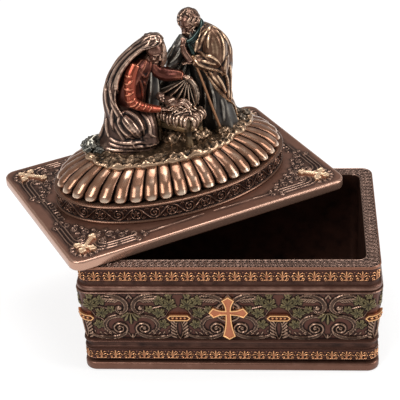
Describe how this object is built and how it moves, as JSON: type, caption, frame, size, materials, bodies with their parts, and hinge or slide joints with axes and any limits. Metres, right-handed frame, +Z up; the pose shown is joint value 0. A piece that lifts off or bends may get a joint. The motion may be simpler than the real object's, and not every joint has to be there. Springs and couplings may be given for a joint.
{
  "type": "decorative keepsake box",
  "caption": "Rectangular bronze-finish keepsake box with a scroll frieze and a loose lid that carries a gadrooned oval dome and a nativity figure group.",
  "frame": {"origin": "middle of the felt face that the box stands on", "axes": "+Z up, +X along the box's length, -Y out of its front"},
  "size_m": [0.1757, 0.1434, 0.1414],
  "materials": {
    "aged_bronze": "dark antiqued cold-cast bronze, rubbed on raised edges",
    "bright_bronze": "rubbed cold-cast bronze with dark recesses",
    "copper_gilt": "copper-gold paint rubbed over bronze",
    "mossy_bronze": "bronze with green patina in the recesses",
    "figure_bronze": "bronze with red and dark green tinted garments",
    "felt": "black felt"
  },
  "bodies": {
    "box": {"box_shell": "aged_bronze", "base_plinth": "aged_bronze", "base_felt": "felt", "front_cross": "copper_gilt", "rear_cross": "copper_gilt", "frieze_bars": "copper_gilt", "corner_bars": "copper_gilt"},
    "pad": {"pivot_pad": "felt"},
    "lid": {"lid_plate": "aged_bronze", "lid_pads": "felt", "corner_crosses": "copper_gilt", "oval_band": "aged_bronze", "gadroon_dome": "bright_bronze", "rocky_ground": "mossy_bronze", "kneeling_woman": "figure_bronze", "standing_man": "figure_bronze", "staff": "bright_bronze", "manger": "figure_bronze", "straw_bed": "bright_bronze", "infant": "bright_bronze", "blanket": "figure_bronze"}
  },
  "joints": [
    {"name": "lid_lift", "type": "slide", "parent": "box", "child": "pad", "axis": [0, 0, 1], "range_m": [0, 0.12]},
    {"name": "lid_turn", "type": "hinge", "parent": "pad", "child": "lid", "pos_m": [-0.062, -0.03875, 0.0555], "axis": [0, 0, 1], "range_deg": [-31, 15]}
  ]
}
